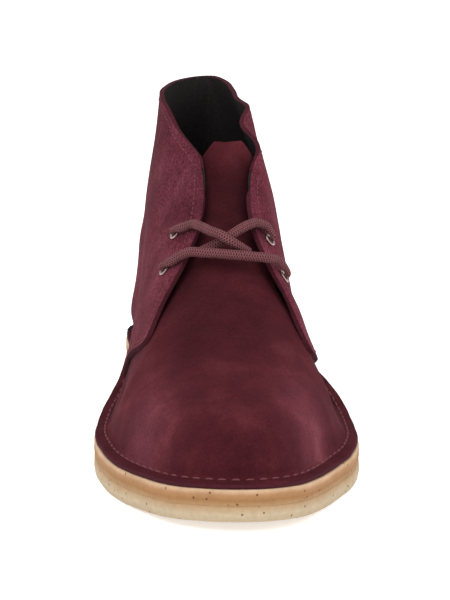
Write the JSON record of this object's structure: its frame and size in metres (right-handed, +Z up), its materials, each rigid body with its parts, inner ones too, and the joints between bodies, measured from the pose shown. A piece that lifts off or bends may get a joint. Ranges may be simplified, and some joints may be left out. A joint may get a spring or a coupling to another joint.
{
  "type": "desert boot",
  "caption": "Right ankle boot of soft suede with open lacing, stitched down on a layered crepe sole.",
  "frame": {"origin": "middle of the sole's outline, on the floor", "axes": "+Z up; the toe points to -Y; +X is the inner side, that of the big toe"},
  "size_m": [0.1111, 0.289, 0.1413],
  "materials": {
    "crepe": "matte natural crepe rubber",
    "crepe_dark": "matte natural crepe rubber, tanned",
    "suede": "napped burgundy suede",
    "insole_leather": "plain dark leather",
    "eyelet_metal": "dull nickel",
    "lace_cotton": "woven burgundy cotton"
  },
  "bodies": {
    "root": {"outsole": "crepe", "midsole": "crepe_dark", "heel": "crepe", "upper": "suede", "insole": "insole_leather", "eyelet_lower_lateral": "eyelet_metal", "eyelet_upper_lateral": "eyelet_metal", "eyelet_lower_medial": "eyelet_metal", "eyelet_upper_medial": "eyelet_metal", "lace": "lace_cotton", "lace_end_lateral": "lace_cotton", "lace_end_medial": "lace_cotton"}
  },
  "joints": []
}
